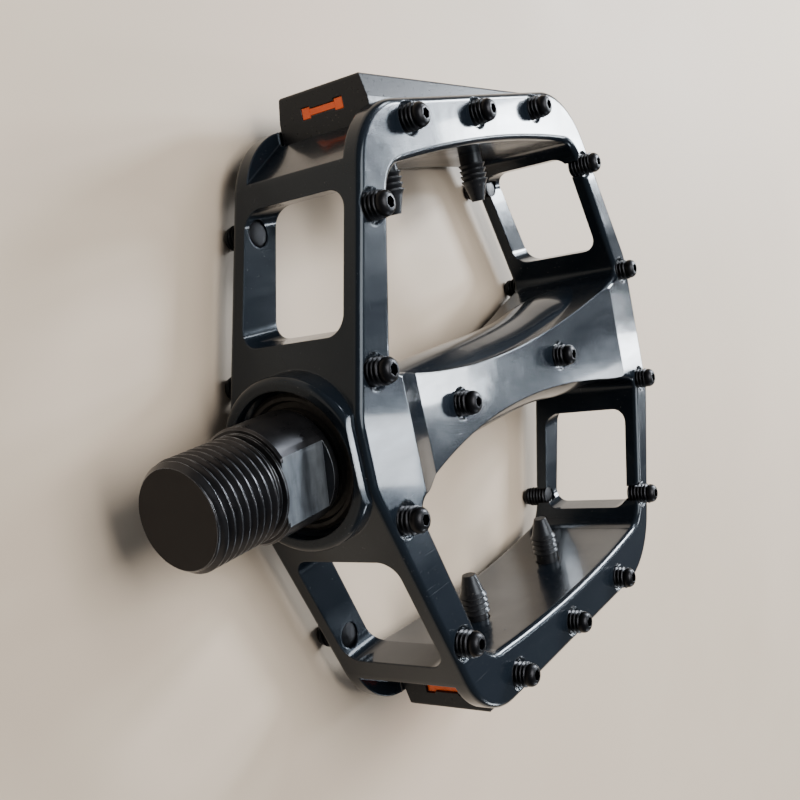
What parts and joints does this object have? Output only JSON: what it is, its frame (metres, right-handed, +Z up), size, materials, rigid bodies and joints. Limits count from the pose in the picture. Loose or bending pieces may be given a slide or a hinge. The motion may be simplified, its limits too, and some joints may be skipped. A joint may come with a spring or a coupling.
{
  "type": "bicycle flat pedal",
  "caption": "Flat platform pedal with a waisted spar between two open windows, screw-in grip pins, side reflectors and a threaded spindle.",
  "frame": {"origin": "centre of the spindle shoulder that seats against the crank face", "axes": "+X outboard along the spindle, +Y towards one long side of the platform (front), +Z up, normal to the platform"},
  "size_m": [0.1216, 0.1012, 0.0296],
  "materials": {
    "body_paint": "gloss black paint over cast aluminium",
    "spindle_steel": "dark oxide steel, milled flats",
    "pin_steel": "black oxide set screw",
    "bearing_steel": "hardened, ground",
    "ball_steel": "polished, greased",
    "washer_steel": "zinc plated",
    "locknut_steel": "zinc plated",
    "seal_rubber": "matt black",
    "cap_plastic": "moulded black",
    "housing_plastic": "moulded black, fine grain",
    "amber_lens": "amber retroreflector"
  },
  "bodies": {
    "spindle": {"spindle": "spindle_steel", "outboard_cone": "bearing_steel", "keyed_washer": "washer_steel", "locknut": "locknut_steel"},
    "platform": {"pedal_body": "body_paint", "inboard_race_cup": "bearing_steel", "outboard_race_cup": "bearing_steel", "dust_seal": "seal_rubber", "dust_cap": "cap_plastic", "front_reflector_housing": "housing_plastic", "front_reflector_lens": "amber_lens", "rear_reflector_housing": "housing_plastic", "rear_reflector_lens": "amber_lens", "top_pins_front": "pin_steel", "top_pins_rear": "pin_steel", "top_pins_inboard": "pin_steel", "top_pins_outboard": "pin_steel", "top_pins_spar": "pin_steel", "bottom_pins_front": "pin_steel", "bottom_pins_rear": "pin_steel", "bottom_pins_inboard": "pin_steel", "bottom_pins_outboard": "pin_steel", "bottom_pins_spar": "pin_steel"},
    "inboard_ball_set": {"inboard_balls": "ball_steel"},
    "outboard_ball_set": {"outboard_balls": "ball_steel"}
  },
  "joints": [
    {"name": "pedal_spin", "type": "hinge", "parent": "spindle", "child": "platform", "pos_m": [0.055, 0, 0], "axis": [1, 0, 0], "continuous": true},
    {"name": "inboard_balls_orbit", "type": "hinge", "parent": "spindle", "child": "inboard_ball_set", "pos_m": [0.0155, 0, 0], "axis": [1, 0, 0], "continuous": true},
    {"name": "outboard_balls_orbit", "type": "hinge", "parent": "spindle", "child": "outboard_ball_set", "pos_m": [0.091, 0, 0], "axis": [1, 0, 0], "continuous": true}
  ],
  "couplings": [
    {"joint": "inboard_balls_orbit", "follows": "pedal_spin", "ratio": 0.5769},
    {"joint": "outboard_balls_orbit", "follows": "pedal_spin", "ratio": 0.5905}
  ]
}
